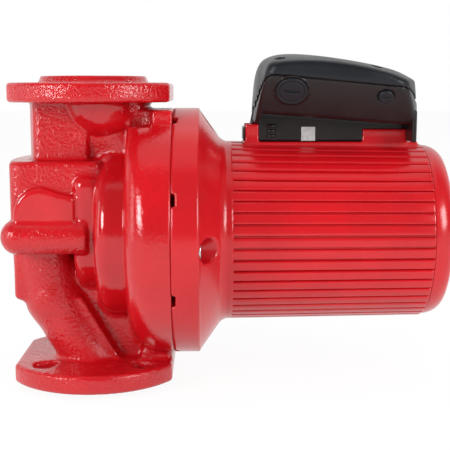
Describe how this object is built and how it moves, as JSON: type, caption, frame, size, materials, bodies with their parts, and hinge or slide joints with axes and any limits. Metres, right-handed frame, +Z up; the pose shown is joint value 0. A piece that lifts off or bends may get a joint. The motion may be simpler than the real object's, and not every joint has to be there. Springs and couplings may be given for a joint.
{
  "type": "in-line wet-rotor circulator pump",
  "caption": "Red cast in-line circulator pump with two flanged ports, a ribbed wet-rotor motor on a horizontal shaft and a black terminal box.",
  "frame": {"origin": "centre of the lower port's sealing face, on the pipe line's axis", "axes": "+Z runs up the pipe line from the lower port to the upper one, +X runs from the pump housing along the motor shaft towards the motor's domed end, +Y points away from the side with the blanking plugs"},
  "size_m": [0.4069, 0.225, 0.3002],
  "materials": {
    "painted_iron": "gloss",
    "painted_aluminium": "gloss",
    "stainless": "satin",
    "steel": "satin",
    "laminations": "matte",
    "rotor_aluminium": "satin",
    "copper": "gloss",
    "ceramic": "satin",
    "carbon": "matte",
    "rubber": "matte",
    "black_plastic": "satin",
    "light_plastic": "satin",
    "knob_plastic": "satin",
    "brass": "satin",
    "capacitor_shell": "satin",
    "label_film": "satin"
  },
  "bodies": {
    "pump": {"pump_housing": "painted_iron", "neck_ring": "stainless", "front_bearing": "ceramic", "rear_bearing": "ceramic", "bearing_plate": "stainless", "rotor_can": "stainless", "housing_gasket": "rubber", "can_seal": "rubber", "motor_housing": "painted_aluminium", "stator_core": "laminations", "stator_windings": "copper", "housing_screws": "steel", "terminal_box_base": "black_plastic", "terminal_box_lid": "black_plastic", "lid_gasket": "rubber", "lid_screws": "steel", "box_screws": "steel", "terminal_block": "light_plastic", "terminal_screws": "brass", "speed_module": "black_plastic", "run_capacitor": "capacitor_shell", "cable_plug_large": "black_plastic", "cable_plug_small": "black_plastic", "winding_leads": "copper", "lead_grommet": "rubber", "rating_plate": "capacitor_shell", "box_label": "label_film"},
    "rotor": {"impeller": "stainless", "split_cone": "stainless", "impeller_nut": "stainless", "shaft": "stainless", "rotor_core": "laminations", "rotor_end_rings": "rotor_aluminium", "thrust_bearing": "carbon"},
    "speed_selector": {"speed_knob": "knob_plastic"}
  },
  "joints": [
    {"name": "rotor_spin", "type": "hinge", "parent": "pump", "child": "rotor", "pos_m": [0, 0, 0.139], "axis": [1, 0, 0], "continuous": true},
    {"name": "speed_select", "type": "hinge", "parent": "pump", "child": "speed_selector", "pos_m": [0.24849, 0, 0.26275], "axis": [0.0767, 0, 0.9971], "range_deg": [-60, 60]}
  ]
}
